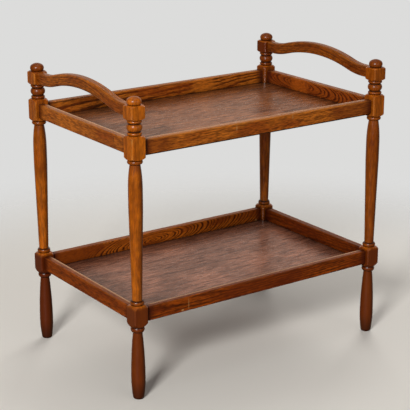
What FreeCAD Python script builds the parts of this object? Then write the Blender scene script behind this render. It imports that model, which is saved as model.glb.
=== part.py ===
import FreeCAD, Part
import math
import os
from enum import IntEnum
from types import SimpleNamespace

import Sketcher

# Two-tier oak trolley: four turned posts, two trays of dowelled rails over screwed panels, two bowed handles.
# X runs along the trays, Y from front to back and Z up; the origin is on the floor under the middle.
# Every long piece is drawn lying along its own X, with its inner side towards its own Y.

SHEET = "Sizes"

SIZES = {
    # Plan: distance between the post axes, and the square stock that each post is turned from.
    "post_spacing_long": 743,
    "post_spacing_deep": 465,
    "block_width": 39.5,
    "arris_chamfer": 3,
    "turning_spare": 2,
    # Trays: rails butted between the blocks, with a panel screwed up under them.
    "lower_rail_bottom": 201.5,
    "upper_rail_bottom": 619,
    "rail_height": 36,
    "rail_thickness": 20,
    "rail_top_round": 3,
    "rail_bottom_chamfer": 0.8,
    "panel_thickness": 5,
    "panel_lap": 10,
    "panel_notch_gap": 0.4,
    # Turned foot, from the floor up to the ring under the lower block.
    "foot_end_radius": 11,
    "foot_toe_radius": 14,
    "foot_toe_height": 5,
    "foot_toe_swell": 0.7,
    "foot_belly_radius": 17.8,
    "foot_belly_height": 55,
    "foot_neck_radius": 11.5,
    "foot_neck_step": 1.2,
    "foot_ring_height": 11.5,
    "foot_ring_rise": 2.2,
    # Lower block: how far its square part reaches past the rails, and its two turned shoulders.
    "lower_square_inset": 2,
    "lower_square_above": 0.5,
    "lower_shoulder_below": 14,
    "lower_shoulder_above": 9.5,
    "shoulder_swell": 1.2,
    "quirk_radius": 15.1,
    # Shaft between the trays.
    "shaft_ring_height": 9.5,
    "shaft_ring_rise": 2,
    "shaft_neck_step": 1.2,
    "shaft_foot_radius": 12.4,
    "shaft_belly_radius": 17.6,
    "shaft_belly_length": 48,
    "shaft_shoulder_length": 58,
    "shaft_neck_radius": 12.8,
    "shaft_collar_height": 10,
    "shaft_collar_rise": 3.6,
    # Upper block and the ring, ball and ring above it.
    "upper_shoulder_below": 7.5,
    "upper_square_below": 3,
    "upper_square_above": 5,
    "upper_shoulder_above": 8,
    "neck_ring_height": 7.3,
    "neck_ring_rise": 2.8,
    "neck_groove_height": 2.7,
    "neck_ball_height": 17,
    "neck_ball_rise": 3.8,
    "neck_gap_height": 2.2,
    "neck_collar_height": 7.3,
    "neck_collar_rise": 3.3,
    # Handle block and the bun knob on top.
    "handle_shoulder_below": 6,
    "handle_square_height": 23.5,
    "handle_shoulder_above": 6,
    "knob_side_height": 14.5,
    "knob_side_swell": 3,
    "knob_crown_radius": 14.6,
    "knob_crown_height": 5,
    # Handles: straight at both blocks, then a reverse bend into one long crown.
    "handle_seat_height": 12.3,
    "handle_height": 30,
    "handle_thickness": 22,
    "handle_straight": 22.5,
    "handle_crown_bend": 490,
    "handle_reverse_bend": 200,
    "handle_edge_round": 5,
    # Dowels: two in each end of a rail or handle.
    "dowel_diameter": 8,
    "dowel_spread": 18,
    "dowel_in_rail": 26,
    "handle_dowel_diameter": 6,
    "handle_dowel_spread": 12,
    "dowel_in_handle": 20,
    "dowel_clearance": 0.1,
    "hole_end_gap": 1,
    "dowel_web": 2,
    "dowel_chamfer": 1,
    # Countersunk screws that hold each panel up to its rails.
    "screw_pitch_limit": 175,
    "screw_end_margin": 14,
    "screw_diameter": 3,
    "screw_head_diameter": 5.6,
    "screw_length": 16,
    "screw_tip_length": 3,
    "screw_sink": 0.2,
    "screw_clearance": 0.1,
    "screw_slot_width": 0.8,
    "screw_slot_depth": 0.7,
}


class Length:
    """A length kept both as a number and as the matching expression on the size sheet."""

    def __init__(self, number, text):
        self.number = number
        self.text = text

    @staticmethod
    def of(value):
        if isinstance(value, Length):
            return value
        return Length(float(value), str(float(value)))

    def __add__(self, other):
        other = Length.of(other)
        return Length(self.number + other.number, f"({self.text} + {other.text})")

    def __sub__(self, other):
        other = Length.of(other)
        return Length(self.number - other.number, f"({self.text} - {other.text})")

    def __mul__(self, other):
        other = Length.of(other)
        return Length(self.number * other.number, f"({self.text} * {other.text})")

    def __truediv__(self, other):
        other = Length.of(other)
        return Length(self.number / other.number, f"({self.text} / {other.text})")

    def __neg__(self):
        return self * -1

    def root(self):
        return Length(math.sqrt(self.number), f"sqrt({self.text})")


ZERO = Length.of(0)

doc = FreeCAD.newDocument("trolley")
sheet = doc.addObject("Spreadsheet::Sheet", SHEET)
for row, (name, value) in enumerate(SIZES.items(), start=1):
    sheet.set(f"A{row}", name)
    sheet.set(f"B{row}", str(value))
    sheet.setAlias(f"B{row}", name)
doc.recompute()
size = SimpleNamespace(**{name: Length(float(value), f"{SHEET}.{name}") for name, value in SIZES.items()})


# Sketching

class EdgePoint(IntEnum):
    """How a sketch numbers the two ends of an edge, and the centre of a round one."""

    START = 1
    END = 2
    CENTRE = 3


class Outline:
    """A closed outline: corners joined by straight edges or by arcs that stand out to one side."""

    def __init__(self, x, y):
        self.corners = [(Length.of(x), Length.of(y))]
        self.arcs = {}

    def line(self, x, y):
        self.corners.append((Length.of(x), Length.of(y)))

    def arc(self, x, y, radius, side):
        """An arc under half a circle that bulges to the right of the way travelled, or left with side -1."""
        self.arcs[len(self.corners) - 1] = (radius, side)
        self.line(x, y)

    def span(self, x, y):
        """The two legs from the last corner to a new one."""
        return Length.of(x) - self.corners[-1][0], Length.of(y) - self.corners[-1][1]

    def bead(self, x, y, rise):
        """An arc whose middle stands out from its chord by rise."""
        across, up = self.span(x, y)
        chord_squared = across * across + up * up
        self.arc(x, y, (chord_squared / 4 + rise * rise) / (rise * 2), 1)

    def taper(self, x, y):
        """A swelling arc that runs upright at its wider end."""
        across, up = self.span(x, y)
        wider = across if across.number > 0 else -across
        self.arc(x, y, (across * across + up * up) / (wider * 2), 1)

    def dome(self, x, y):
        """A rising arc that ends level."""
        across, up = self.span(x, y)
        self.arc(x, y, (across * across + up * up) / (up * 2), 1)


def new_body(label, place, turn=0):
    """A body at a place given by three lengths, turned about the upright axis by a number of degrees."""
    body = doc.addObject("PartDesign::Body", label)
    body.Label = label
    body.Placement.Rotation = FreeCAD.Rotation(FreeCAD.Vector(0, 0, 1), turn)
    for axis, length in zip("xyz", place):
        body.setExpression(f"Placement.Base.{axis}", length.text)
    return body


def origin_part(body, role):
    return next(part for part in body.Origin.OriginFeatures if part.Role == role)


def new_sketch(body, name, plane, shift=(ZERO, ZERO, ZERO)):
    """A sketch on one of the body's own planes, shifted in that plane and along its normal."""
    sketch = body.newObject("Sketcher::SketchObject", name)
    sketch.AttachmentSupport = [(origin_part(body, plane), "")]
    sketch.MapMode = "FlatFace"
    for axis, length in zip("xyz", shift):
        sketch.setExpression(f"AttachmentOffset.Base.{axis}", length.text)
    return sketch


def bind(sketch, constraint, length):
    row = sketch.addConstraint(constraint)
    sketch.setExpression(f"Constraints[{row}]", length.text)


def pin(sketch, edge, end, point):
    """Holds an edge's end or centre at a point given by two lengths from the sketch's origin."""
    for direction, length in zip(("DistanceX", "DistanceY"), point):
        bind(sketch, Sketcher.Constraint(direction, -1, 1, edge, end, length.number), length)


def vector(point):
    return FreeCAD.Vector(point[0].number, point[1].number, 0)


def arc_between(start, end, radius, side):
    chord = end - start
    half = chord.Length / 2
    rise = radius - math.sqrt(max(radius * radius - half * half, 0))
    outwards = FreeCAD.Vector(chord.y, -chord.x, 0).normalize() * side
    return Part.ArcOfCircle(start, (start + end) / 2 + outwards * rise, end)


def draw(sketch, outline):
    """Adds a closed outline, with every corner held by the sheet's sizes."""
    count = len(outline.corners)
    ends = []
    for number, corner in enumerate(outline.corners):
        start = vector(corner)
        end = vector(outline.corners[(number + 1) % count])
        if number in outline.arcs:
            radius, side = outline.arcs[number]
            edge = sketch.addGeometry(arc_between(start, end, radius.number, side))
            bind(sketch, Sketcher.Constraint("Radius", edge, radius.number), radius)
        else:
            edge = sketch.addGeometry(Part.LineSegment(start, end))
        both_ends = (EdgePoint.START, EdgePoint.END)
        first, last = sorted(both_ends, key=lambda point: sketch.getPoint(edge, point).distanceToPoint(start))
        ends.append((edge, first, last))
    for number, (edge, first, last) in enumerate(ends):
        next_edge, next_first, _ = ends[(number + 1) % count]
        sketch.addConstraint(Sketcher.Constraint("Coincident", edge, last, next_edge, next_first))
        pin(sketch, edge, first, outline.corners[number])


def draw_circles(sketch, centres, radius):
    upright = FreeCAD.Vector(0, 0, 1)
    for centre in centres:
        edge = sketch.addGeometry(Part.Circle(vector(centre), upright, radius.number))
        pin(sketch, edge, EdgePoint.CENTRE, centre)
        bind(sketch, Sketcher.Constraint("Radius", edge, radius.number), radius)


def pad(body, sketch, length, symmetric=False):
    feature = body.newObject("PartDesign::Pad", f"{sketch.Name}Pad")
    feature.Profile = sketch
    feature.setExpression("Length", length.text)
    feature.Midplane = symmetric
    return feature


def pocket(body, sketch, depth, along_normal=False):
    feature = body.newObject("PartDesign::Pocket", f"{sketch.Name}Pocket")
    feature.Profile = sketch
    feature.setExpression("Length", depth.text)
    feature.Reversed = along_normal
    return feature


def bore(body, name, plane, shift, centres, radius, depth, along_normal):
    """Blind round holes of one depth, started from one plane."""
    sketch = new_sketch(body, name, plane, shift)
    draw_circles(sketch, centres, radius)
    return pocket(body, sketch, depth, along_normal)


# Heights that the posts share with the trays and handles

block_half = size.block_width / 2
lower_rail_top = size.lower_rail_bottom + size.rail_height
upper_rail_top = size.upper_rail_bottom + size.rail_height

lower_square_bottom = size.lower_rail_bottom + size.lower_square_inset
foot_ring_top = lower_square_bottom - size.lower_shoulder_below
foot_ring_bottom = foot_ring_top - size.foot_ring_height
foot_neck = foot_ring_bottom - size.foot_neck_step
lower_square_top = lower_rail_top + size.lower_square_above
shaft_ring_bottom = lower_square_top + size.lower_shoulder_above
shaft_ring_top = shaft_ring_bottom + size.shaft_ring_height
shaft_bottom = shaft_ring_top + size.shaft_neck_step

upper_square_bottom = size.upper_rail_bottom - size.upper_square_below
shaft_collar_top = upper_square_bottom - size.upper_shoulder_below
shaft_collar_bottom = shaft_collar_top - size.shaft_collar_height
shaft_top = shaft_collar_bottom - size.shaft_neck_step
shaft_belly_top = shaft_top - size.shaft_shoulder_length
shaft_belly_bottom = shaft_belly_top - size.shaft_belly_length

upper_square_top = upper_rail_top + size.upper_square_above
neck_ring_bottom = upper_square_top + size.upper_shoulder_above
neck_ring_top = neck_ring_bottom + size.neck_ring_height
neck_ball_bottom = neck_ring_top + size.neck_groove_height
neck_ball_top = neck_ball_bottom + size.neck_ball_height
neck_collar_bottom = neck_ball_top + size.neck_gap_height
neck_collar_top = neck_collar_bottom + size.neck_collar_height
handle_square_bottom = neck_collar_top + size.handle_shoulder_below
handle_square_top = handle_square_bottom + size.handle_square_height
knob_bottom = handle_square_top + size.handle_shoulder_above
knob_crown_bottom = knob_bottom + size.knob_side_height
post_top = knob_crown_bottom + size.knob_crown_height
handle_axis = handle_square_bottom + size.handle_seat_height

# Dowel holes: their depth leaves a web of wood between two holes that meet at right angles in one block.
dowel_radius = size.dowel_diameter / 2
dowel_hole_radius = dowel_radius + size.dowel_clearance
handle_dowel_radius = size.handle_dowel_diameter / 2
handle_dowel_hole_radius = handle_dowel_radius + size.dowel_clearance
post_hole_depth = block_half - dowel_hole_radius - size.dowel_web
dowel_in_post = post_hole_depth - size.hole_end_gap


def pair(middle, spread):
    return [middle - spread / 2, middle + spread / 2]


rail_dowel_heights = pair(size.rail_height / 2, size.dowel_spread)
tray_dowel_heights = [
    bottom + height
    for bottom in (size.lower_rail_bottom, size.upper_rail_bottom)
    for height in rail_dowel_heights
]
handle_dowel_heights = pair(handle_axis, size.handle_dowel_spread)


# Posts

def turned_outlines(stock_reach):
    """What the lathe takes off the square stock, as four outlines of radius and height."""
    foot = Outline(stock_reach, -size.turning_spare)
    foot.line(size.foot_end_radius, -size.turning_spare)
    foot.line(size.foot_end_radius, ZERO)
    foot.bead(size.foot_toe_radius, size.foot_toe_height, size.foot_toe_swell)
    foot.taper(size.foot_belly_radius, size.foot_belly_height)
    foot.taper(size.foot_neck_radius, foot_neck)
    foot.line(size.quirk_radius, foot_ring_bottom)
    foot.bead(size.quirk_radius, foot_ring_top, size.foot_ring_rise)
    foot.bead(stock_reach, lower_square_bottom, size.shoulder_swell)

    shaft = Outline(stock_reach, lower_square_top)
    shaft.bead(size.quirk_radius, shaft_ring_bottom, size.shoulder_swell)
    shaft.bead(size.quirk_radius, shaft_ring_top, size.shaft_ring_rise)
    shaft.line(size.shaft_foot_radius, shaft_bottom)
    shaft.line(size.shaft_belly_radius, shaft_belly_bottom)
    shaft.line(size.shaft_belly_radius, shaft_belly_top)
    shaft.taper(size.shaft_neck_radius, shaft_top)
    shaft.line(size.quirk_radius, shaft_collar_bottom)
    shaft.bead(size.quirk_radius, shaft_collar_top, size.shaft_collar_rise)
    shaft.bead(stock_reach, upper_square_bottom, size.shoulder_swell)

    neck = Outline(stock_reach, upper_square_top)
    neck.bead(size.quirk_radius, neck_ring_bottom, size.shoulder_swell)
    neck.bead(size.quirk_radius, neck_ring_top, size.neck_ring_rise)
    neck.line(size.quirk_radius, neck_ball_bottom)
    neck.bead(size.quirk_radius, neck_ball_top, size.neck_ball_rise)
    neck.line(size.quirk_radius, neck_collar_bottom)
    neck.bead(size.quirk_radius, neck_collar_top, size.neck_collar_rise)
    neck.bead(stock_reach, handle_square_bottom, size.shoulder_swell)

    knob = Outline(stock_reach, handle_square_top)
    knob.bead(size.quirk_radius, knob_bottom, size.shoulder_swell)
    knob.bead(size.knob_crown_radius, knob_crown_bottom, size.knob_side_swell)
    knob.dome(ZERO, post_top)
    knob.line(ZERO, post_top + size.turning_spare)
    knob.line(stock_reach, post_top + size.turning_spare)
    return foot, shaft, neck, knob


def make_post(label, x, y, inwards_x, inwards_y):
    """Square stock with eased arrises, turned between its blocks and bored for its dowels on two sides."""
    body = new_body(label, (x, y, ZERO))
    flat = block_half - size.arris_chamfer
    stock = Outline(block_half, -flat)
    stock.line(block_half, flat)
    stock.line(flat, block_half)
    stock.line(-flat, block_half)
    stock.line(-block_half, flat)
    stock.line(-block_half, -flat)
    stock.line(-flat, -block_half)
    stock.line(flat, -block_half)
    sketch = new_sketch(body, f"{label}Stock", "XY_Plane")
    draw(sketch, stock)
    pad(body, sketch, post_top)

    stock_reach = (block_half * block_half + flat * flat).root() + size.turning_spare
    turning = new_sketch(body, f"{label}Turning", "XZ_Plane")
    for outline in turned_outlines(stock_reach):
        draw(turning, outline)
    groove = body.newObject("PartDesign::Groove", f"{label}Groove")
    groove.Profile = turning
    groove.ReferenceAxis = (turning, ["V_Axis"])

    # Holes start from the face that looks inwards. The normal of the upright X plane points to -Y.
    long_side = (ZERO, ZERO, block_half * inwards_x)
    long_holes = [(ZERO, height) for height in tray_dowel_heights]
    bore(body, f"{label}LongHoles", "YZ_Plane", long_side, long_holes,
         dowel_hole_radius, post_hole_depth, inwards_x < 0)
    end_side = (ZERO, ZERO, block_half * -inwards_y)
    bore(body, f"{label}EndHoles", "XZ_Plane", end_side, long_holes,
         dowel_hole_radius, post_hole_depth, inwards_y > 0)
    handle_holes = [(ZERO, height) for height in handle_dowel_heights]
    bore(body, f"{label}HandleHoles", "XZ_Plane", end_side, handle_holes,
         handle_dowel_hole_radius, post_hole_depth, inwards_y > 0)
    return body


# Rails, handles and what holds them

def rail_screw_places(length):
    """Places along a rail of its panel screws, clear of the dowels in both ends."""
    reach = length / 2 - size.dowel_in_rail - size.screw_end_margin
    spaces = max(1, math.ceil(reach.number * 2 / size.screw_pitch_limit.number))
    return [reach * (2 * number / spaces - 1) for number in range(spaces + 1)]


screw_radius = size.screw_diameter / 2
screw_hole_radius = screw_radius + size.screw_clearance
screw_line = size.rail_thickness / 2 - size.panel_lap / 2
screw_in_rail = size.screw_length + size.screw_sink - size.panel_thickness

# Degrees across the cone of a screw head, which makes the head as high as it stands out from its shank.
HEAD_CONE = 90


def bore_ends(body, name, length, heights, radius, depth):
    """Dowel holes in both ends of a piece that lies along X."""
    centres = [(ZERO, height) for height in heights]
    for end, side in (("Right", 1), ("Left", -1)):
        bore(body, f"{name}{end}Holes", "YZ_Plane", (ZERO, ZERO, length / 2 * side), centres,
             radius, depth, side < 0)


def make_rail(label, length, place, turn):
    """A rail with a rounded top edge, bored at its ends for dowels and below for the panel's screws."""
    body = new_body(label, place, turn)
    half = size.rail_thickness / 2
    ease = size.rail_bottom_chamfer
    rounding = size.rail_top_round
    section = Outline(-half + ease, ZERO)
    section.line(half - ease, ZERO)
    section.line(half, ease)
    section.line(half, size.rail_height - rounding)
    section.arc(half - rounding, size.rail_height, rounding, 1)
    section.line(-half + rounding, size.rail_height)
    section.arc(-half, size.rail_height - rounding, rounding, 1)
    section.line(-half, ease)
    sketch = new_sketch(body, f"{label}Section", "YZ_Plane")
    draw(sketch, section)
    pad(body, sketch, length, symmetric=True)
    bore_ends(body, label, length, rail_dowel_heights, dowel_hole_radius,
              size.dowel_in_rail + size.hole_end_gap)
    pilots = [(along, screw_line) for along in rail_screw_places(length)]
    bore(body, f"{label}Pilots", "XY_Plane", (ZERO, ZERO, ZERO), pilots,
         screw_hole_radius, screw_in_rail + size.hole_end_gap, True)
    return body


def make_dowels(label, length, place, turn, heights, radius, depth):
    """Two dowels in each end of a piece that lies along X, shared between the piece and the posts."""
    body = new_body(label, place, turn)
    ease = size.dowel_chamfer
    section = Outline(-depth, ZERO)
    section.line(dowel_in_post, ZERO)
    section.line(dowel_in_post, radius - ease)
    section.line(dowel_in_post - ease, radius)
    section.line(-depth + ease, radius)
    section.line(-depth, radius - ease)
    sketch = new_sketch(body, f"{label}Section", "XZ_Plane", (length / 2, heights[0], ZERO))
    draw(sketch, section)
    dowel = body.newObject("PartDesign::Revolution", f"{label}Turned")
    dowel.Profile = sketch
    dowel.ReferenceAxis = (sketch, ["H_Axis"])
    group = body.newObject("PartDesign::MultiTransform", f"{label}Group")
    group.Originals = [dowel]
    other_end = body.newObject("PartDesign::Mirrored", f"{label}OtherEnd")
    other_end.MirrorPlane = (origin_part(body, "YZ_Plane"), [""])
    second = body.newObject("PartDesign::LinearPattern", f"{label}Second")
    second.Direction = (origin_part(body, "Z_Axis"), [""])
    second.setExpression("Length", (heights[1] - heights[0]).text)
    second.Occurrences = len(heights)
    group.Transformations = [other_end, second]
    body.Tip = group
    return body


def make_screws(label, length, place, turn):
    """Countersunk slotted screws, their heads just below the panel's underside and their tips in the rail."""
    body = new_body(label, place, turn)
    places = rail_screw_places(length)
    first = places[0]
    head_face = -size.panel_thickness + size.screw_sink
    head_radius = size.screw_head_diameter / 2
    head_height = head_radius - screw_radius
    section = Outline(ZERO, head_face)
    section.line(head_radius, head_face)
    section.line(screw_radius, head_face + head_height)
    section.line(screw_radius, head_face + size.screw_length - size.screw_tip_length)
    section.line(ZERO, head_face + size.screw_length)
    sketch = new_sketch(body, f"{label}Section", "XZ_Plane", (first, ZERO, -screw_line))
    draw(sketch, section)
    screw = body.newObject("PartDesign::Revolution", f"{label}Turned")
    screw.Profile = sketch
    screw.ReferenceAxis = (sketch, ["V_Axis"])
    slot_half = size.screw_slot_width / 2
    slot = Outline(-head_radius, -slot_half)
    slot.line(head_radius, -slot_half)
    slot.line(head_radius, slot_half)
    slot.line(-head_radius, slot_half)
    slot_sketch = new_sketch(body, f"{label}Slot", "XY_Plane", (first, screw_line, head_face))
    draw(slot_sketch, slot)
    slot_cut = pocket(body, slot_sketch, size.screw_slot_depth, True)
    row = body.newObject("PartDesign::LinearPattern", f"{label}Row")
    row.Originals = [screw, slot_cut]
    row.Direction = (origin_part(body, "X_Axis"), [""])
    row.setExpression("Length", (places[-1] - first).text)
    row.Occurrences = len(places)
    body.Tip = row
    return body


def make_panel(label, height, holes):
    """A flat board notched round the four posts, bored and countersunk from below for its screws."""
    body = new_body(label, (ZERO, ZERO, height - size.panel_thickness))
    half_long = size.post_spacing_long / 2 - size.rail_thickness / 2 + size.panel_lap
    half_deep = size.post_spacing_deep / 2 - size.rail_thickness / 2 + size.panel_lap
    notch_long = size.post_spacing_long / 2 - block_half - size.panel_notch_gap
    notch_deep = size.post_spacing_deep / 2 - block_half - size.panel_notch_gap
    board = Outline(notch_long, -half_deep)
    board.line(notch_long, -notch_deep)
    board.line(half_long, -notch_deep)
    board.line(half_long, notch_deep)
    board.line(notch_long, notch_deep)
    board.line(notch_long, half_deep)
    board.line(-notch_long, half_deep)
    board.line(-notch_long, notch_deep)
    board.line(-half_long, notch_deep)
    board.line(-half_long, -notch_deep)
    board.line(-notch_long, -notch_deep)
    board.line(-notch_long, -half_deep)
    sketch = new_sketch(body, f"{label}Board", "XY_Plane")
    draw(sketch, board)
    pad(body, sketch, size.panel_thickness)
    hole_sketch = new_sketch(body, f"{label}Screws", "XY_Plane")
    draw_circles(hole_sketch, holes, screw_hole_radius)
    doc.recompute()
    hole = body.newObject("PartDesign::Hole", f"{label}Holes")
    hole.Profile = hole_sketch
    hole.DepthType = "ThroughAll"
    hole.Reversed = True
    hole.setExpression("Diameter", (screw_hole_radius * 2).text)
    hole.HoleCutType = "Countersink"
    hole.HoleCutCustomValues = True
    hole.HoleCutCountersinkAngle = HEAD_CONE
    head_clear = (size.screw_clearance + size.screw_sink) * 2
    hole.setExpression("HoleCutDiameter", (size.screw_head_diameter + head_clear).text)
    return body


def make_handle(label, length, place, turn):
    """A bowed handle sawn from one board, with all its long edges rounded."""
    body = new_body(label, place, turn)
    half_length = length / 2
    half_height = size.handle_height / 2
    bend_start = half_length - size.handle_straight
    crown = size.handle_crown_bend
    reverse = size.handle_reverse_bend
    sine = bend_start / (crown + reverse)
    cosine = (Length.of(1) - sine * sine).root()
    crown_centre = reverse - (crown + reverse) * cosine

    def crown_end(side, offset):
        return (crown + offset) * sine * side, crown_centre + (crown + offset) * cosine

    outline = Outline(half_length, -half_height)
    outline.line(half_length, half_height)
    outline.line(bend_start, half_height)
    outline.arc(*crown_end(1, half_height), reverse - half_height, -1)
    outline.arc(*crown_end(-1, half_height), crown + half_height, 1)
    outline.arc(-bend_start, half_height, reverse - half_height, -1)
    outline.line(-half_length, half_height)
    outline.line(-half_length, -half_height)
    outline.line(-bend_start, -half_height)
    outline.arc(*crown_end(-1, -half_height), reverse + half_height, 1)
    outline.arc(*crown_end(1, -half_height), crown - half_height, -1)
    outline.arc(bend_start, -half_height, reverse + half_height, 1)
    sketch = new_sketch(body, f"{label}Outline", "XZ_Plane")
    draw(sketch, outline)
    board = pad(body, sketch, size.handle_thickness, symmetric=True)
    doc.recompute()
    # The long edges are those that run along X: the others lie in an end, or cross the board.
    long_edges = [
        f"Edge{number}"
        for number, edge in enumerate(board.Shape.Edges, start=1)
        if abs(edge.firstVertex().Point.x - edge.lastVertex().Point.x) > size.handle_edge_round.number
    ]
    rounding = body.newObject("PartDesign::Fillet", f"{label}Rounding")
    rounding.Base = (board, long_edges)
    rounding.setExpression("Radius", size.handle_edge_round.text)
    heights = pair(ZERO, size.handle_dowel_spread)
    bore_ends(body, label, length, heights, handle_dowel_hole_radius,
              size.dowel_in_handle + size.hole_end_gap)
    return body


# Assembly

half_long = size.post_spacing_long / 2
half_deep = size.post_spacing_deep / 2
long_rail = size.post_spacing_long - size.block_width
end_rail = size.post_spacing_deep - size.block_width

parts = []
for depth_name, side_y in (("front", -1), ("back", 1)):
    for side_name, side_x in (("left", -1), ("right", 1)):
        parts.append(make_post(f"post_{depth_name}_{side_name}", half_long * side_x, half_deep * side_y,
                               -side_x, -side_y))

# Each side of a tray: name, middle of the rail, turn that faces its inner side inwards, length.
tray_sides = (
    ("front", ZERO, -half_deep, 0, long_rail),
    ("right", half_long, ZERO, 90, end_rail),
    ("back", ZERO, half_deep, 180, long_rail),
    ("left", -half_long, ZERO, 270, end_rail),
)
long_line = half_deep - screw_line
end_line = half_long - screw_line
panel_holes = [(along, long_line * side) for side in (-1, 1) for along in rail_screw_places(long_rail)]
panel_holes += [(end_line * side, along) for side in (-1, 1) for along in rail_screw_places(end_rail)]

for tray, bottom in (("lower", size.lower_rail_bottom), ("upper", size.upper_rail_bottom)):
    for name, x, y, turn, length in tray_sides:
        place = (x, y, bottom)
        parts.append(make_rail(f"{tray}_{name}_rail", length, place, turn))
        parts.append(make_dowels(f"{tray}_{name}_rail_dowels", length, place, turn, rail_dowel_heights,
                                 dowel_radius, size.dowel_in_rail))
        parts.append(make_screws(f"{tray}_{name}_panel_screws", length, place, turn))
    parts.append(make_panel(f"{tray}_tray_panel", bottom, panel_holes))

for side_name, side_x, turn in (("left", -1, 270), ("right", 1, 90)):
    place = (half_long * side_x, ZERO, handle_axis)
    parts.append(make_handle(f"{side_name}_handle", end_rail, place, turn))
    parts.append(make_dowels(f"{side_name}_handle_dowels", end_rail, place, turn,
                             pair(ZERO, size.handle_dowel_spread), handle_dowel_radius, size.dowel_in_handle))

doc.recompute()

# Checks before anything is written

for item in doc.Objects:
    if "Invalid" in item.State or "Error" in item.State:
        raise RuntimeError(f"{item.Label} did not build: {item.State}")
for part in parts:
    if part.Shape.isNull() or not part.Shape.isValid():
        raise RuntimeError(f"{part.Label} has no valid shape")

os.makedirs("parts", exist_ok=True)
for part in parts:
    part.Shape.exportStep(f"parts/{part.Label}.step")
    print(f"{part.Label}: {len(part.Shape.Solids)} solids, {part.Shape.Volume:.1f} mm3")
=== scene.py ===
import math

import bpy
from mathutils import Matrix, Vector


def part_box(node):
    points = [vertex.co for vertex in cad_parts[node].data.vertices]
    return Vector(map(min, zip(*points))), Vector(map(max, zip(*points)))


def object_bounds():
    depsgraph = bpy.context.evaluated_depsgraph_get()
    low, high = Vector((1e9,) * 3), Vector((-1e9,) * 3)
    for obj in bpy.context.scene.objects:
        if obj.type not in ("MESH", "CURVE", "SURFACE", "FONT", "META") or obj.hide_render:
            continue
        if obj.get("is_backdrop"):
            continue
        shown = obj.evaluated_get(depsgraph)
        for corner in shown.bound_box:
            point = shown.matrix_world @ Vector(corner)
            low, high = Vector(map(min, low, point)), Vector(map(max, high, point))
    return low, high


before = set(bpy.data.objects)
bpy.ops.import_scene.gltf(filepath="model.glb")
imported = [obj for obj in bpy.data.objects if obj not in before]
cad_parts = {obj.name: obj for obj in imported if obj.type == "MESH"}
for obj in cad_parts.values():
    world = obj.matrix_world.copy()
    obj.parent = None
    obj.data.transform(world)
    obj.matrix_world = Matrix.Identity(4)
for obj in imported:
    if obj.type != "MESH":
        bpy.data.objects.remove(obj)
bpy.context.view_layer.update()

# Posts: four lengths of square oak stock, turned on a lathe between the blocks that take the rails and
# handles. The grain runs up each post. The lathe bares end grain on every bead, which drinks more stain,
# and the feet and lower blocks, which nobody touches, have kept a deeper red than the rest.

MM = 0.001


def linear(hex_colour):
    """An sRGB hex colour as the linear colour that a shader takes."""
    channels = []
    for start in (1, 3, 5):
        value = int(hex_colour[start:start + 2], 16) / 255
        channels.append(value / 12.92 if value <= 0.04045 else ((value + 0.055) / 1.055) ** 2.4)
    return (*channels, 1.0)


def add(tree, kind, links=(), out=0, **settings):
    """Adds a node with its settings, feeds its sockets from values or other nodes, and gives one output."""
    node = tree.nodes.new("ShaderNode" + kind)
    for name, value in settings.items():
        setattr(node, name, value)
    for socket, value in links.items() if isinstance(links, dict) else enumerate(links):
        if isinstance(value, bpy.types.NodeSocket):
            tree.links.new(value, node.inputs[socket])
        else:
            node.inputs[socket].default_value = value
    return node.outputs[out] if node.outputs else None


SMOOTH = {"interpolation_type": "SMOOTHSTEP"}
# A Mix node's colour sockets go by number, because they share their names with its other sockets. The share
# is how much of the colour laid over hides the one under it.
COLOUR = {"data_type": "RGBA", "out": 2}
SHARE = 0
UNDER = 6
OVER = 7


def new_finish(name):
    """An empty material, its node tree, and the surface's place in the frame in millimetres."""
    material = bpy.data.materials.new(name)
    material.use_nodes = True
    tree = material.node_tree
    tree.nodes.clear()
    place = add(tree, "TexCoord", out="Object")
    return material, tree, add(tree, "VectorMath", {"Vector": place, "Scale": 1 / MM}, operation="SCALE")


def in_log(tree, place, heart, grain):
    """The place in the log that a piece was sawn from: along its heart line, then both ways across."""
    turn = Vector((1, 0, 0)).rotation_difference(Vector(grain)).to_euler()
    return add(tree, "Mapping", {"Vector": place, "Location": heart, "Rotation": turn}, vector_type="TEXTURE")


def along_grain(tree, log, length, width, detail=2.0):
    """Clouds from 0 to 1, drawn out along the grain to a usual length and width in millimetres."""
    place = add(tree, "VectorMath", [log, (1 / length, 1 / width, 1 / width)], operation="MULTIPLY")
    return add(tree, "TexNoise", {"Vector": place, "Scale": 1.0, "Detail": detail, "Roughness": 0.55})


# Rings stray from round in long slow bends and in short ripples: the length and width of each, in
# millimetres, and its share of the wander.
RING_BENDS = ((190, 55, 2.0), (30, 9, 0.6))
# Good and bad years come in spells of this many years, and put the rings out of step by up to so many.
SPELL = 2.5
SPELL_DRIFT = 1.6
# The parts of a year over which early wood gives way to late wood, and over which it sets in again.
EARLY_WOOD_ENDS = (0.14, 0.5)
EARLY_WOOD_STARTS = (0.88, 1.0)


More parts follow.
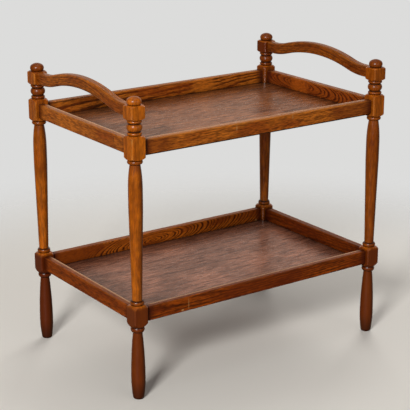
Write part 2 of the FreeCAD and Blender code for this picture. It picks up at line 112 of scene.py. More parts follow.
def growth_rings(tree, log, gap, wander):
    """Yearly rings, so many millimetres apart: 1 in the open early wood and 0 in the dense late wood.

    Wander is how far, in millimetres, they stray from round.
    """
    across = add(tree, "VectorMath", [log, (0, 1, 1)], operation="MULTIPLY")
    radius = add(tree, "VectorMath", [across], out="Value", operation="LENGTH")
    for length, width, share in RING_BENDS:
        sway = along_grain(tree, log, length, width)
        radius = add(tree, "Math", [sway, share * wander, radius], operation="MULTIPLY_ADD")
    years = add(tree, "Math", [radius, gap], operation="DIVIDE")
    uneven = add(tree, "TexNoise", {"W": years, "Scale": 1 / SPELL, "Detail": 0.0}, noise_dimensions="1D")
    years = add(tree, "Math", [uneven, SPELL_DRIFT, years], operation="MULTIPLY_ADD")
    ring = add(tree, "Math", [years], operation="FRACT")
    falling = add(tree, "MapRange", [ring, *EARLY_WOOD_ENDS, 1.0, 0.0], **SMOOTH)
    rising = add(tree, "MapRange", [ring, *EARLY_WOOD_STARTS, 0.0, 1.0], **SMOOTH)
    return add(tree, "Math", [falling, rising], operation="MAXIMUM")


# Nearly all of a cloud's values lie in this span.
CLOUD_SPAN = (0.3, 0.7)


def shaded(tree, colour, pattern, darkest, lightest):
    """A colour made darker and lighter by a pattern of clouds."""
    brightness = add(tree, "MapRange", [pattern, *CLOUD_SPAN, darkest, lightest], **SMOOTH)
    return add(tree, "VectorMath", {"Vector": colour, "Scale": brightness}, operation="SCALE")


# Lengths and widths, in millimetres, of the patches where rings show, of blotches of red stain, of fibres and
# of pores. Real fibres and pores are a few tenths of a millimetre wide. They are drawn 2 or 3 mm wide, so
# that they still show from a few metres away.
RING_PATCH = (45, 8)
STAIN_BLOTCH = (110, 34)
FIBRE = (17, 2.3)
PORE = (20, 3.2)
# The cloud values over which each of these goes from its least to its full strength.
RING_PATCH_EDGE = (0.3, 0.6)
STAIN_BLOTCH_EDGE = (0.42, 0.68)
PORE_EDGE = (0.5, 0.68)
# The share of the ring figure that is left between the patches, and how far a blotch hides what is under it.
RINGS_LEFT = 0.5
BLOTCH_STRENGTH = 0.7
# How far flecks of strength 1 darken and lighten the fibres, and fill the pores everywhere and in early wood.
FIBRE_DARKER = 0.8
FIBRE_LIGHTER = 1.1
PORES_EVERYWHERE = 0.25
PORES_IN_EARLY_WOOD = 0.45


def oak_grain(tree, log, tones, gap, wander, figure, flecks, calm=0.0):
    """The colour of stained oak, and its pores. Tones are late wood, early wood, red stain and pores.

    Figure is how strongly the rings show, flecks how strongly the fibres and pores do, and calm is 1 where
    the wood is clear.
    """
    late, early, red, pore = (linear(tone) for tone in tones)
    rings = growth_rings(tree, log, gap, wander)
    patches = along_grain(tree, log, *RING_PATCH)
    strength = add(tree, "MapRange", [patches, *RING_PATCH_EDGE, RINGS_LEFT * figure, figure], **SMOOTH)
    strength = add(tree, "MapRange", [calm, 0.0, 1.0, strength, 0.0])
    ring_share = add(tree, "Math", [rings, strength], operation="MULTIPLY")
    colour = add(tree, "Mix", {SHARE: ring_share, UNDER: late, OVER: early}, **COLOUR)

    blotches = along_grain(tree, log, *STAIN_BLOTCH, detail=3.0)
    red_share = add(tree, "MapRange", [blotches, *STAIN_BLOTCH_EDGE, 0.0, BLOTCH_STRENGTH], **SMOOTH)
    red_share = add(tree, "MapRange", [calm, 0.0, 1.0, red_share, 0.0])
    colour = add(tree, "Mix", {SHARE: red_share, UNDER: colour, OVER: red}, **COLOUR)

    fibres = along_grain(tree, log, *FIBRE)
    colour = shaded(tree, colour, fibres, 1 - FIBRE_DARKER * flecks, 1 + FIBRE_LIGHTER * flecks)
    dashes = along_grain(tree, log, *PORE, detail=1.0)
    pores = add(tree, "MapRange", [dashes, *PORE_EDGE, 0.0, 1.0], **SMOOTH)
    filled = [rings, PORES_IN_EARLY_WOOD * flecks, PORES_EVERYWHERE * flecks]
    pore_share = add(tree, "Math", filled, operation="MULTIPLY_ADD")
    pore_share = add(tree, "Math", [pore_share, pores], operation="MULTIPLY")
    return add(tree, "Mix", {SHARE: pore_share, UNDER: colour, OVER: pore}, **COLOUR), pores


# Painted corner shade is deepest where this little is open above a surface, and gone where this much is.
CORNER_SHADE_SPAN = (0.25, 0.85)


def painted_corner_shade(tree, colour, depth, reach):
    """Painted shade in the corners, where little is open above the surface. Reach is in millimetres."""
    # Painted shade: darker where less is open above the surface.
    open_share = add(tree, "AmbientOcclusion", {"Distance": reach * MM}, out="AO", samples=8)
    shade = add(tree, "MapRange", [open_share, *CORNER_SHADE_SPAN, 1 - depth, 1.0], **SMOOTH)
    return add(tree, "VectorMath", {"Vector": colour, "Scale": shade}, operation="SCALE")


VARNISH_IOR = 1.5
# How far the varnish has sunk into the pores, in millimetres, how strongly that shows, and how much rougher
# it is there.
SUNK_DEPTH = 0.25
SUNK_STRENGTH = 0.25
SUNK_DULLER = 0.12


def varnish(tree, colour, pores, roughness, body):
    """An old satin varnish that has sunk a little into the pores. Body is its specular level."""
    relief = add(tree, "Math", [1.0, pores], operation="SUBTRACT")
    bump = add(tree, "Bump", {"Strength": SUNK_STRENGTH, "Distance": SUNK_DEPTH * MM, "Height": relief})
    dulled = add(tree, "MapRange", [pores, 0.0, 1.0, roughness, roughness + SUNK_DULLER])
    coat = add(tree, "BsdfPrincipled", {"Base Color": colour, "Roughness": dulled, "Normal": bump,
                                        "IOR": VARNISH_IOR, "Specular IOR Level": body})
    add(tree, "OutputMaterial", {"Surface": coat})


def dress(node, material):
    """Gives a solid from the frame its finish."""
    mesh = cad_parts[node].data
    mesh.materials.clear()
    mesh.materials.append(material)


def between(tree, height, low, high):
    """1 at heights from low to high, and 0 elsewhere."""
    above = add(tree, "Math", [height, low], operation="GREATER_THAN")
    below = add(tree, "Math", [height, high], operation="LESS_THAN")
    return add(tree, "Math", [above, below], operation="MULTIPLY")


# The stretches of a post, by the heights above the floor that each fades in over and then fades out over.
STRETCHES = {
    "foot_and_lower_block": (-2, -1, 236, 250),
    "lower_ring": (246, 248, 257.5, 259.5),
    "shaft": (250, 262, 585, 612),
    "shaft_upper_half": (420, 520, 598, 599),
    "shaft_end": (550, 598, 598, 599),
    "collar": (596.5, 598.5, 608.5, 610.5),
    "upper_block": (585, 612, 664, 666),
    "ball_and_rings": (666, 668, 705, 707),
    "handle_block": (705, 707, 735, 737),
    "knob": (737, 739, 767, 768),
}
# How much stain the end grain has drunk, where a post's own list doesn't say.
STAINED = {"lower_ring": 0.5, "shaft_upper_half": 0.25, "shaft_end": 0.6, "collar": 0.5}
# The stretches of beads with quirks between them, which are darkened. The darkening is deepest at the bottom
# of a quirk, and thins out over these distances from there.
QUIRKS = ((176, 190), (246, 259), (597, 610), (666, 707), (735, 741))
QUIRK_RADIUS = 15.1
QUIRK_DARK_FROM = 0.2
QUIRK_DARK_TO = 1.8
QUIRK_DARK_SHARE = 0.85
# The foot darkens towards the floor, fading out up the foot over these heights.
FOOT_DARKENING = (5, 60)
FOOT_DARKENING_SHARE = 0.6
# The foot and shaft carry painted shade on their front right side. The span is of the cosine of the angle
# from the middle of that side.
ROUND_STRETCHES = ((0, 176), (259, 598))
SHADED_SIDE = (0.82, -0.57, 0)
SIDE_SHADE_SPAN = (0.4, 0.95)
SIDE_SHADE_SHARE = 0.5
# An arris is the strip where the distances from a post's two middle planes add up to most. It is paled, by
# wear and a painted highlight, from the first of these distances short of that, and fully from the second.
post_low, post_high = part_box("post_front_left")
BLOCK_HALF = (post_high.x - post_low.x) / 2 / MM
CHAMFER = 3
ARRIS = 2 * BLOCK_HALF - CHAMFER
ARRIS_PALED_FROM = 0.8
ARRIS_PALED_TO = 0.1
# Lengths and widths of the nicks along the arrises, and of the patches that hands have polished.
NICK = (14, 6)
POLISHED_PATCH = (38, 11)

POST_TONES = ("#B8600C", "#823F07", "#924307", "#502206")
ARRIS_WEAR_AND_HIGHLIGHT = "#D08A3C"
DEEP_STAIN_AND_SHADE = "#622402"
SIDE_SHADE = "#3E1804"
NEAR_BLACK = "#240B03"


# Turned oak under an old satin varnish. To the eye it is a warm gold with short fine lines up the post,
# mottled where hands have polished it, with nearly black quirks, arrises paled by wear and a painted
# highlight, painted shade on the front right side and in the corners, and a soft highlight on every bead.
def turned_oak(node, middle, heart, grain, stain_and_shade):
    material, tree, place = new_finish(f"turned_oak_{node}")
    log = in_log(tree, place, heart, grain)
    colour, pores = oak_grain(tree, log, POST_TONES, gap=7.0, wander=5.0, figure=0.35, flecks=0.26)
    polished = along_grain(tree, log, *POLISHED_PATCH, detail=4.0)
    colour = shaded(tree, colour, polished, darkest=0.72, lightest=1.25)
    height = add(tree, "SeparateXYZ", [place], out="Z")
    across = add(tree, "VectorMath", [place, middle], operation="SUBTRACT")
    across = add(tree, "VectorMath", [across, (1, 1, 0)], operation="MULTIPLY")

    # Wear and a painted highlight pale the arrises.
    apart = add(tree, "VectorMath", [across], operation="ABSOLUTE")
    apart = add(tree, "VectorMath", [apart, (1, 1, 0)], out="Value", operation="DOT_PRODUCT")
    nicks = add(tree, "MapRange", [along_grain(tree, log, *NICK), 0.4, 0.65, 0.1, 0.4], **SMOOTH)
    paled = [apart, ARRIS - ARRIS_PALED_FROM, ARRIS - ARRIS_PALED_TO, 0.0, nicks]
    arris_share = add(tree, "MapRange", paled, **SMOOTH)
    colour = add(tree, "Mix", {SHARE: arris_share, UNDER: colour, OVER: linear(ARRIS_WEAR_AND_HIGHLIGHT)}, **COLOUR)

    # Stain deepens some stretches, and part of each post's share is painted shade.
    stain_and_shade_share = 0.0
    for stretch, share in {**STAINED, **stain_and_shade}.items():
        low, full_from, full_to, high = STRETCHES[stretch]
        rise = add(tree, "MapRange", [height, low, full_from, 0.0, 1.0], **SMOOTH)
        fall = add(tree, "MapRange", [height, full_to, high, share, 0.0], **SMOOTH)
        share_here = add(tree, "Math", [rise, fall], operation="MULTIPLY")
        stain_and_shade_share = add(tree, "Math", [stain_and_shade_share, share_here], operation="MAXIMUM")
    colour = add(tree, "Mix", {SHARE: stain_and_shade_share, UNDER: colour, OVER: linear(DEEP_STAIN_AND_SHADE)}, **COLOUR)

    # Painted shade on the front right side of the foot and shaft.
    outward = add(tree, "VectorMath", [across], operation="NORMALIZE")
    towards_shaded_side = add(tree, "VectorMath", [outward, SHADED_SIDE], out="Value", operation="DOT_PRODUCT")
    side_shade_share = add(tree, "MapRange", [towards_shaded_side, *SIDE_SHADE_SPAN, 0.0, SIDE_SHADE_SHARE], **SMOOTH)
    for low, high in ROUND_STRETCHES:
        share = add(tree, "Math", [between(tree, height, low, high), side_shade_share], operation="MULTIPLY")
        colour = add(tree, "Mix", {SHARE: share, UNDER: colour, OVER: linear(SIDE_SHADE)}, **COLOUR)

    # The quirks are darkened.
    radius = add(tree, "VectorMath", [across], out="Value", operation="LENGTH")
    quirk_darkening = [radius, QUIRK_RADIUS + QUIRK_DARK_FROM, QUIRK_RADIUS + QUIRK_DARK_TO, QUIRK_DARK_SHARE, 0.0]
    deep = add(tree, "MapRange", quirk_darkening, **SMOOTH)
    for low, high in QUIRKS:
        share = add(tree, "Math", [between(tree, height, low, high), deep], operation="MULTIPLY")
        colour = add(tree, "Mix", {SHARE: share, UNDER: colour, OVER: linear(NEAR_BLACK)}, **COLOUR)
    # Darker towards the floor.
    near_floor = add(tree, "MapRange", [height, *FOOT_DARKENING, FOOT_DARKENING_SHARE, 0.0], **SMOOTH)
    colour = add(tree, "Mix", {SHARE: near_floor, UNDER: colour, OVER: linear(NEAR_BLACK)}, **COLOUR)
    colour = painted_corner_shade(tree, colour, depth=0.5, reach=18)
    varnish(tree, colour, pores, roughness=0.28, body=0.4)
    return material


# How much stain is left on each stretch of each post. At the head the front left post has the least and the
# back right one the most, partly as painted shade for the posts farther from the key lamp; the back right
# post's shaft, in the upper tray's shadow, is left unstained to paint out the shade there.
POST_STAIN_AND_SHADE = {
    "post_front_left": dict(foot_and_lower_block=0.9, shaft=0.15, upper_block=0.0,
                            ball_and_rings=0.3, handle_block=0.08, knob=0.1),
    "post_front_right": dict(foot_and_lower_block=0.9, shaft=0.6, upper_block=0.25,
                             ball_and_rings=0.55, handle_block=0.5, knob=0.75),
    "post_back_left": dict(foot_and_lower_block=1.0, shaft=0.05, upper_block=0.2,
                           ball_and_rings=0.6, handle_block=0.1, knob=0.75),
    "post_back_right": dict(foot_and_lower_block=0.6, shaft=0.0, shaft_upper_half=0.0, shaft_end=0.3,
                            upper_block=0.65, ball_and_rings=0.75, handle_block=0.95, knob=0.75),
}
# The heart of each log lay outside its post, this far out from it and up from the floor, and leant outwards.
HEART_OUT = Vector((70, 50, 300))
HEART_LEAN = Vector((0.01, 0.012, 1))
for node, stain_and_shade in POST_STAIN_AND_SHADE.items():
    low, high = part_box(node)
    middle = (low + high) / 2 / MM
    outward = Vector((math.copysign(1, middle.x), math.copysign(1, middle.y), 1))
    heart = Vector((middle.x, middle.y, 0)) + HEART_OUT * outward
    dress(node, turned_oak(node, middle, heart, HEART_LEAN * outward, stain_and_shade))

# Rails: planed oak strips, eight in all, dowelled between the blocks, with the top edges rounded over and
# paler gold from wear by hands and a painted highlight. Each is sawn from its own place in the log, so its
# figure is
# its own: a heart line well outside a rail gives long straight lines, and one that crosses it gives chevrons.

UPPER_TONES = ("#AA5C18", "#582808", "#7E340A", "#3E1A0A")
FLAME_TONES = ("#9C4A10", "#421806", "#722A08", "#34140A")
LOWER_TONES = ("#8C3E09", "#3C1405", "#642406", "#2A0E04")
RIPPLE_TONES = ("#A65412", "#3C1405", "#702C0A", "#2A0E04")
RED = "#62220A"
DEEP_RED = "#481806"
PALE = "#C89A62"
DARK = "#2C1206"
WORN_EDGE_AND_HIGHLIGHT = "#CA7E34"
ARRIS_HIGHLIGHT = "#E2B288"
STAINED_END = "#46180A"

# How each rail was cut: a point on the heart line and its direction, the ring gap and how far the rings
# wander, in millimetres, then how strongly rings and flecks show. Wear is how far the top edge is paled by
# rubbing and a painted highlight, and the next value is the strength of a painted highlight along the inner
# arris. Clear is the middle and half sizes of a stretch with no figure, and marks are the middle, half sizes,
# colour and strength of stains, scratches and chips.
RAILS = {
    "upper_front_rail": dict(
        tones=UPPER_TONES, heart=(0, -300, 600), grain=(1, 0.01, 0.02), gap=5.5, wander=3.0,
        figure=0.3, flecks=0.6, wear_and_highlight=0.6, arris_highlight=0.7, clear=((-340, -243, 640), (80, 40, 60)),
        marks=(((-340, -243, 640), (90, 40, 60), RED, 0.55), ((290, -243, 637), (100, 30, 40), RED, 0.5),
               ((-84, -243, 644), (1.5, 6, 9), PALE, 0.6), ((90, -243, 648), (1.5, 6, 8), PALE, 0.6))),
    "upper_right_rail": dict(
        tones=FLAME_TONES, heart=(361, 67, 640), grain=(0.2, 1, 0.05), gap=3.8, wander=1.6,
        figure=1.2, flecks=0.35, wear_and_highlight=0.4, arris_highlight=0.0, clear=((361, 67, 632), (30, 50, 40)),
        marks=(((361, -90, 637), (30, 170, 40), RED, 0.25), ((361, 190, 637), (30, 110, 40), RED, 0.4))),
    "upper_back_rail": dict(
        tones=UPPER_TONES, heart=(0, 170, 610), grain=(1, 0.03, 0.012), gap=6.0, wander=4.5,
        figure=1.5, flecks=0.45, wear_and_highlight=0.4, arris_highlight=0.0, clear=((144, 222, 637), (50, 30, 40)), marks=()),
    "upper_left_rail": dict(
        tones=UPPER_TONES, heart=(-450, 0, 660), grain=(0.02, 1, 0.01), gap=6.0, wander=3.0,
        figure=0.3, flecks=0.5, wear_and_highlight=0.4, arris_highlight=0.7, clear=((-382, 75, 630), (30, 70, 30)),
        marks=(((-382, -154, 642), (6, 1.8, 10), DARK, 0.9), ((-382, -120, 637), (30, 110, 40), RED, 0.2))),
    "lower_front_rail": dict(
        tones=LOWER_TONES, heart=(0, -280, 250), grain=(1, 0.03, 0.05), gap=5.2, wander=4.0,
        figure=0.85, flecks=0.5, wear_and_highlight=0.1, arris_highlight=0.6, clear=None,
        marks=(((20, -243, 219), (190, 40, 60), RED, 0.5), ((-228, -243, 219), (1.6, 6, 20), PALE, 0.4),
               ((-246, -243, 206), (5, 6, 2.5), PALE, 0.8))),
    "lower_right_rail": dict(
        tones=LOWER_TONES, heart=(400, 0, 200), grain=(0.03, 1, 0.02), gap=5.0, wander=4.0,
        figure=0.9, flecks=0.6, wear_and_highlight=0.1, arris_highlight=0.0, clear=None,
        marks=(((361, 0, 219), (40, 400, 60), DEEP_RED, 0.5),)),
    "lower_back_rail": dict(
        tones=RIPPLE_TONES, heart=(-30, 222.5, 214), grain=(1, -0.23, 0.08), gap=3.2, wander=0.8,
        figure=1.15, flecks=0.3, wear_and_highlight=0.15, arris_highlight=0.0, clear=((-360, 222, 220), (170, 40, 60)),
        marks=(((-350, 222, 220), (200, 40, 60), RED, 0.65), ((334, 222, 205), (4, 5, 3), PALE, 0.9))),
    "lower_left_rail": dict(
        tones=LOWER_TONES, heart=(-470, 0, 250), grain=(0.02, 1, 0.01), gap=6.0, wander=5.0,
        figure=0.35, flecks=0.5, wear_and_highlight=0.2, arris_highlight=0.6, clear=None, marks=()),
}
# The top edge is paled, by wear and a painted highlight, from this far below its top, and fully from this
# far, in patches of this length and width. The least is the share of it that is left between the patches.
EDGE_PALED_FROM = 5
EDGE_PALED_TO = 1.5
EDGE_PALED_PATCH = (60, 12)
EDGE_PALED_PATCH_EDGE = (0.3, 0.65)
EDGE_PALED_LEAST = 0.1
# A painted highlight lies along the inner arris, over this much of the rail's thickness and height.
ARRIS_WIDTH = 9
ARRIS_HEIGHT = 2.5
# Stain has gathered from this far before the end of a rail, and fully from this far.
END_STAIN_FROM = 28
END_STAIN_TO = 4
END_STAIN_SHARE = 0.85
# The lower tray's varnish has the less body.
RAIL_BODY = {"upper": 0.24, "lower": 0.15}


def oval(tree, place, middle, half):
    """A soft-edged mark on a surface: 1 inside and 0 outside."""
    away = add(tree, "VectorMath", [place, middle], operation="SUBTRACT")
    away = add(tree, "VectorMath", [away, half], operation="DIVIDE")
    away = add(tree, "VectorMath", [away], out="Value", operation="LENGTH")
    return add(tree, "MapRange", [away, 0.5, 1.0, 1.0, 0.0], **SMOOTH)


# Planed oak under the same varnish. To the eye it is a brown with dark ring lines and golden flecks along the
# rail, paler along its top edge from wear and a painted highlight, palest along the inner arris under a
# painted highlight, with painted shade in the corners, and dark red at its ends.
def planed_oak(node, tones, heart, grain, gap, wander, figure, flecks, wear_and_highlight, arris_highlight, clear, marks):
    material, tree, place = new_finish(f"planed_oak_{node}")
    log = in_log(tree, place, heart, grain)
    calm = oval(tree, place, *clear) if clear else 0.0
    colour, pores = oak_grain(tree, log, tones, gap, wander, figure, flecks, calm)
    for middle, half, tone, strength in marks:
        share = add(tree, "Math", [oval(tree, place, middle, half), strength], operation="MULTIPLY")
        colour = add(tree, "Mix", {SHARE: share, UNDER: colour, OVER: linear(tone)}, **COLOUR)

    low, high = (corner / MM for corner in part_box(node))
    height = add(tree, "SeparateXYZ", [place], out="Z")
    # Wear and a painted highlight pale the top edge.
    patches = along_grain(tree, log, *EDGE_PALED_PATCH)
    patchy = add(tree, "MapRange", [patches, *EDGE_PALED_PATCH_EDGE, EDGE_PALED_LEAST * wear_and_highlight, wear_and_highlight])
    paled_edge_share = add(tree, "MapRange", [height, high.z - EDGE_PALED_FROM, high.z - EDGE_PALED_TO, 0.0, patchy], **SMOOTH)
    colour = add(tree, "Mix", {SHARE: paled_edge_share, UNDER: colour, OVER: linear(WORN_EDGE_AND_HIGHLIGHT)}, **COLOUR)

    # The axis that the rail runs along, and the one that its sides face.
    runs_along, faces = (0, 1) if "front" in node or "back" in node else (1, 0)
    out_from_middle = add(tree, "VectorMath", [place], operation="ABSOLUTE")
    across = add(tree, "SeparateXYZ", [out_from_middle], out=faces)
    # Painted highlight along the inner arris.
    inner = min(abs(low[faces]), abs(high[faces]))
    highlight_span = [across, inner + ARRIS_WIDTH / 2, inner + ARRIS_WIDTH, arris_highlight, 0.0]
    highlight_across = add(tree, "MapRange", highlight_span, **SMOOTH)
    highlight_share = add(tree, "MapRange", [height, high.z - ARRIS_HEIGHT, high.z, 0.0, highlight_across], **SMOOTH)
    colour = add(tree, "Mix", {SHARE: highlight_share, UNDER: colour, OVER: linear(ARRIS_HIGHLIGHT)}, **COLOUR)

    along = add(tree, "SeparateXYZ", [out_from_middle], out=runs_along)
    end = high[runs_along]
    gathered = [along, end - END_STAIN_FROM, end - END_STAIN_TO, 0.0, END_STAIN_SHARE]
    end_share = add(tree, "MapRange", gathered, **SMOOTH)
    colour = add(tree, "Mix", {SHARE: end_share, UNDER: colour, OVER: linear(STAINED_END)}, **COLOUR)
    colour = painted_corner_shade(tree, colour, depth=0.6, reach=22)
    tier = node.split("_")[0]
    varnish(tree, colour, pores, roughness=0.32, body=RAIL_BODY[tier])
    return material


for node, cut in RAILS.items():
    dress(node, planed_oak(node, **cut))

# Tray panels: thin boards faced with a dark stained veneer, lapped under the rails and screwed up to them.
# The veneer was peeled from the log, so its rings wander in broad patches, with dark streaks along the trays.

# The ground, the early wood, and the streaks and pores.
UPPER_VENEER = ("#A46236", "#86481F", "#4C2614")
LOWER_VENEER = ("#AA7056", "#8C5842", "#522C20")
# Lengths and widths, in millimetres. Real streaks and pores are under 2 mm wide. They are drawn 8 mm wide,
# and fibres 3.5 mm, because the trays are seen at a low angle.
STREAK = (75, 8)
FADED_CLOUD = (130, 70)
VENEER_FIBRE = (45, 3.5)
VENEER_PORE = (26, 8)
STREAK_EDGE = (0.51, 0.6)
VENEER_PORE_EDGE = (0.42, 0.68)
# How far each hides what is under it.
VENEER_RING_SHARE = 0.45
STREAK_SHARE = 0.6
VENEER_PORE_SHARE = 0.4
# Painted shade by the rails. The brightness falls to this at the rails, from so far inside them.
INNER_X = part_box("upper_right_rail")[0].x / MM
INNER_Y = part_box("upper_back_rail")[0].y / MM
RAIL_SHADE_MIDDLE = (35, 0, 0)
RAIL_SHADE_INSET = 120
EDGE_BRIGHTNESS = 0.45


# Peeled veneer under varnish that has gone hazy. To the eye it is a purplish brown with soft dark streaks,
# darkened towards the rails and into the corners by painted shade.
def peeled_veneer(name, heart, grain, tones):
    material, tree, place = new_finish(name)
    ground, early, streak = (linear(tone) for tone in tones)
    log = in_log(tree, place, heart, grain)
    rings = growth_rings(tree, log, gap=12, wander=16)
    ring_share = add(tree, "Math", [rings, VENEER_RING_SHARE], operation="MULTIPLY")
    colour = add(tree, "Mix", {SHARE: ring_share, UNDER: ground, OVER: early}, **COLOUR)
    streaks = along_grain(tree, log, *STREAK, detail=4.0)
    streak_share = add(tree, "MapRange", [streaks, *STREAK_EDGE, 0.0, STREAK_SHARE], **SMOOTH)
    colour = add(tree, "Mix", {SHARE: streak_share, UNDER: colour, OVER: streak}, **COLOUR)
    colour = shaded(tree, colour, along_grain(tree, log, *FADED_CLOUD), darkest=0.8, lightest=1.2)
    colour = shaded(tree, colour, along_grain(tree, log, *VENEER_FIBRE), darkest=0.7, lightest=1.35)
    dashes = along_grain(tree, log, *VENEER_PORE)
    pores = add(tree, "MapRange", [dashes, *VENEER_PORE_EDGE, 0.0, 1.0], **SMOOTH)
    pore_share = add(tree, "Math", [pores, VENEER_PORE_SHARE], operation="MULTIPLY")
    colour = add(tree, "Mix", {SHARE: pore_share, UNDER: colour, OVER: streak}, **COLOUR)

    # Painted shade: darker towards the rails.
    inset = add(tree, "VectorMath", [place, RAIL_SHADE_MIDDLE], operation="SUBTRACT")
    inset = add(tree, "VectorMath", [inset], operation="ABSOLUTE")
    inset = add(tree, "VectorMath", [(INNER_X, INNER_Y, 0), inset], operation="SUBTRACT")
    insets = [add(tree, "SeparateXYZ", [inset], out=axis) for axis in "XY"]
    nearest = add(tree, "Math", insets, operation="MINIMUM")
    rail_shade = add(tree, "MapRange", [nearest, 0, RAIL_SHADE_INSET, EDGE_BRIGHTNESS, 1.0], **SMOOTH)
    colour = add(tree, "VectorMath", {"Vector": colour, "Scale": rail_shade}, operation="SCALE")
    colour = painted_corner_shade(tree, colour, depth=0.75, reach=40)
    varnish(tree, colour, pores, roughness=0.27, body=0.5)
    return material


upper_veneer = peeled_veneer("upper_panel_veneer", (100, 20, 500), (1, 0.03, 0.02), UPPER_VENEER)
lower_veneer = peeled_veneer("lower_panel_veneer", (-100, 50, 100), (1, 0.02, 0.02), LOWER_VENEER)
dress("upper_tray_panel", upper_veneer)
dress("lower_tray_panel", lower_veneer)

# Handles: bowed oak bars between the top blocks of each end, their edges rounded over for the hand. The grain
# follows the bow, as in a bar bent under steam.

LEFT_TONES = ("#A05412", "#582808", "#7A360A", "#34160A")
RIGHT_TONES = ("#8E480E", "#4C2008", "#6C2E08", "#34160A")
# A handle runs straight out of its blocks, then rises by so much to the middle of its bow.
STRAIGHT_END = 22.5
BOW_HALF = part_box("left_handle")[1].y / MM - STRAIGHT_END
BOW_RISE = 26.7
# How strongly wear and a painted highlight pale the top of a handle.
HANDLE_WEAR_AND_HIGHLIGHT = 0.25


# Bent oak under varnish worn by hands. To the eye it is a red brown with long thin lines that follow the bow,
# paler along the top from wear and a painted highlight, with painted shade in the corners.
def bent_oak(node, heart, grain, tones):
    material, tree, place = new_finish(f"bent_oak_{node}")
    along = add(tree, "SeparateXYZ", [place], out="Y")
    turn = add(tree, "MapRange", [along, -BOW_HALF, BOW_HALF, -math.pi, math.pi])
    wave = add(tree, "Math", [turn], operation="COSINE")
    rise = add(tree, "Math", [wave, BOW_RISE / 2, BOW_RISE / 2], operation="MULTIPLY_ADD")
    bow = add(tree, "CombineXYZ", {"Z": rise})
    straight = add(tree, "VectorMath", [place, bow], operation="SUBTRACT")
    log = in_log(tree, straight, heart, grain)
    colour, pores = oak_grain(tree, log, tones, gap=5.0, wander=2.0, figure=0.65, flecks=0.5)
    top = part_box(node)[1].z / MM - BOW_RISE
    height = add(tree, "SeparateXYZ", [straight], out="Z")
    # Wear and a painted highlight pale the top of the handle.
    patches = along_grain(tree, log, *EDGE_PALED_PATCH)
    patchy = add(tree, "MapRange", [patches, *EDGE_PALED_PATCH_EDGE, 0.0, HANDLE_WEAR_AND_HIGHLIGHT])
    paled_edge_share = add(tree, "MapRange", [height, top - EDGE_PALED_FROM, top - EDGE_PALED_TO, 0.0, patchy], **SMOOTH)
    colour = add(tree, "Mix", {SHARE: paled_edge_share, UNDER: colour, OVER: linear(WORN_EDGE_AND_HIGHLIGHT)}, **COLOUR)
    colour = painted_corner_shade(tree, colour, depth=0.6, reach=18)
    varnish(tree, colour, pores, roughness=0.28, body=0.28)
    return material


dress("left_handle", bent_oak("left_handle", (-440, 0, 680), (0.02, 1, 0.0), LEFT_TONES))
dress("right_handle", bent_oak("right_handle", (300, 0, 680), (0.02, 1, 0.0), RIGHT_TONES))

# Dowels: beech pins, two glued into each end of every rail and handle. They are closed in by the wood round
# them, so none of them shows on the finished trolley.

BEECH = "#D9B98A"
BEECH_FLECKS = "#B98F5C"
BEECH_FLECK = (6, 2)

# Turned beech, left bare. To the eye it is a pale pinkish tan with short darker flecks, and quite dull.
beech, tree, place = new_finish("turned_beech")
flecks = along_grain(tree, place, *BEECH_FLECK)
colour = add(tree, "Mix", {SHARE: flecks, UNDER: linear(BEECH), OVER: linear(BEECH_FLECKS)}, **COLOUR)
finish = add(tree, "BsdfPrincipled", {"Base Color": colour, "Roughness": 0.6, "IOR": 1.5})
add(tree, "OutputMaterial", {"Surface": finish})
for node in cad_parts:
    if node.endswith("dowels"):
        dress(node, beech)

# Panel screws: slotted countersunk wood screws of steel, driven up through the edge of each panel into the
# rails. Only their heads show, from underneath.

STEEL = "#8E8A84"
RUST = "#6A4E3A"
RUST_PATCH = (3, 3)
RUST_EDGE = (0.45, 0.65)

# Aged steel. To the eye it is a grey with a dull shine, patched brown where it has begun to rust.
steel, tree, place = new_finish("aged_steel")
rust = along_grain(tree, place, *RUST_PATCH)
rust_share = add(tree, "MapRange", [rust, *RUST_EDGE, 0.0, 1.0], **SMOOTH)
colour = add(tree, "Mix", {SHARE: rust_share, UNDER: linear(STEEL), OVER: linear(RUST)}, **COLOUR)
roughness = add(tree, "MapRange", [rust, *CLOUD_SPAN, 0.35, 0.6])
finish = add(tree, "BsdfPrincipled", {"Base Color": colour, "Roughness": roughness, "Metallic": 1.0})
add(tree, "OutputMaterial", {"Surface": finish})
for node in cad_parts:
    if node.endswith("screws"):
        dress(node, steel)

# Floor: a plain pale floor that fades out into the pale room before its edge, and is open from below. Seen
# directly it is nearly white, but it lights the wood like a warmer, darker one.

FLOOR_SEEN = "#F0EBE2"
FLOOR_LIGHT = "#84725C"
# Half the floor's side in metres, and the distances from its middle, in millimetres, that it fades out over.
FLOOR_HALF = 3.0
FADE_FROM = 700
FADE_TO = 1700

corners = [(x * FLOOR_HALF, y * FLOOR_HALF, 0) for x, y in ((-1, -1), (1, -1), (1, 1), (-1, 1))]
floor_mesh = bpy.data.meshes.new("floor")
floor_mesh.from_pydata(corners, [], [(0, 1, 2, 3)])
floor = bpy.data.objects.new("floor", floor_mesh)
bpy.context.scene.collection.objects.link(floor)
floor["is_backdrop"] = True
material, tree, place = new_finish("pale_floor")
away = add(tree, "VectorMath", [place], out="Value", operation="LENGTH")
fade = add(tree, "MapRange", [away, FADE_FROM, FADE_TO, 0.0, 1.0], **SMOOTH)
seen = add(tree, "LightPath", out="Is Camera Ray")
tone = add(tree, "Mix", {SHARE: seen, UNDER: linear(FLOOR_LIGHT), OVER: linear(FLOOR_SEEN)}, **COLOUR)
matte = add(tree, "BsdfPrincipled", {"Base Color": tone, "Roughness": 0.6})
clear = add(tree, "BsdfTransparent")
from_below = add(tree, "NewGeometry", out="Backfacing")
open_share = add(tree, "Math", [fade, from_below], operation="MAXIMUM")
add(tree, "OutputMaterial", {"Surface": add(tree, "MixShader", [open_share, matte, clear])})
floor_mesh.materials.append(material)

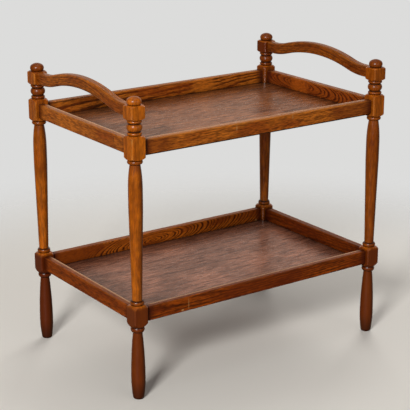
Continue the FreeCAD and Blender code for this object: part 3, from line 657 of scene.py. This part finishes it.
# Light: a pale room with a soft key lamp at the front left, a weak front lamp, one overhead and one behind.
# The varnish mirrors a pale wall behind the trolley, and little else.

WALL_DIRECTION = (0.55, 0.78, 0.0)
WALL_SPAN = (0.3, 0.85)
WALL_SEEN = "#DCDCDB"
WALL_MIRRORED = "#CBBCB1"
ROOM_MIRRORED = "#453C30"
ROOM_LIGHT = "#6C6C6C"

world = bpy.data.worlds.new("studio")
bpy.context.scene.world = world
world.use_nodes = True
tree = world.node_tree
tree.nodes.clear()
direction = add(tree, "TexCoord", out="Generated")
towards_wall = add(tree, "VectorMath", [direction, WALL_DIRECTION], out="Value", operation="DOT_PRODUCT")
wall_share = add(tree, "MapRange", [towards_wall, *WALL_SPAN, 0.0, 1.0], **SMOOTH)
mirrored = {SHARE: wall_share, UNDER: linear(ROOM_MIRRORED), OVER: linear(WALL_MIRRORED)}
mirrored_room = add(tree, "Mix", mirrored, **COLOUR)
glossy = add(tree, "LightPath", out="Is Glossy Ray")
room = add(tree, "Mix", {SHARE: glossy, UNDER: linear(ROOM_LIGHT), OVER: mirrored_room}, **COLOUR)
seen = add(tree, "LightPath", out="Is Camera Ray")
room = add(tree, "Mix", {SHARE: seen, UNDER: room, OVER: linear(WALL_SEEN)}, **COLOUR)
add(tree, "OutputWorld", {"Surface": add(tree, "Background", {"Color": room, "Strength": 1.0})})


def softbox(name, place, aim, width, height, power, mirrored=True):
    """A rectangular lamp turned to its aim, in metres and watts.

    A lamp that isn't mirrored leaves no glare on the varnish.
    """
    lamp = bpy.data.lights.new(name, "AREA")
    lamp.shape = "RECTANGLE"
    lamp.size = width
    lamp.size_y = height
    lamp.energy = power
    lit = bpy.data.objects.new(name, lamp)
    lit.location = place
    lit.rotation_euler = (Vector(aim) - Vector(place)).to_track_quat("-Z", "Y").to_euler()
    lit.visible_glossy = mirrored
    bpy.context.scene.collection.objects.link(lit)


BETWEEN_TRAYS = (0, 0, 0.4)
UNDER_UPPER_TRAY = (0, 0, 0.5)
softbox("key", (-3.57, -2.64, 2.7), BETWEEN_TRAYS, width=1.02, height=1.02, power=180)
softbox("front", (0.3, -3.0, 1.6), UNDER_UPPER_TRAY, width=1.7, height=1.2, power=7)
softbox("top", (0.1, 0.1, 4.1), UNDER_UPPER_TRAY, width=2.4, height=2.4, power=12)
softbox("back", (3.0, 2.6, 2.2), BETWEEN_TRAYS, width=2.4, height=2.4, power=90, mirrored=False)

# Camera: a long lens, some way round to the left of the front and a little above the upper tray, so that it
# looks down into both trays.

CAMERA_AIM = Vector((-0.0476, -0.0563, 0.393))
CAMERA_DISTANCE = 3.5
CAMERA_AZIMUTH = math.radians(35.19)
CAMERA_ELEVATION = math.radians(17.566)
SENSOR = 36
LENS = 117.74

level = math.cos(CAMERA_ELEVATION)
ahead = Vector((
    math.sin(CAMERA_AZIMUTH) * level,
    math.cos(CAMERA_AZIMUTH) * level,
    -math.sin(CAMERA_ELEVATION),
))
camera_data = bpy.data.cameras.new("camera")
camera_data.sensor_width = SENSOR
camera_data.lens = LENS
camera = bpy.data.objects.new("camera", camera_data)
camera.location = CAMERA_AIM - ahead * CAMERA_DISTANCE
camera.rotation_euler = ahead.to_track_quat("-Z", "Y").to_euler()
bpy.context.scene.collection.objects.link(camera)
bpy.context.scene.camera = camera
bpy.context.scene.view_settings.view_transform = "Standard"

low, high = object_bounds()
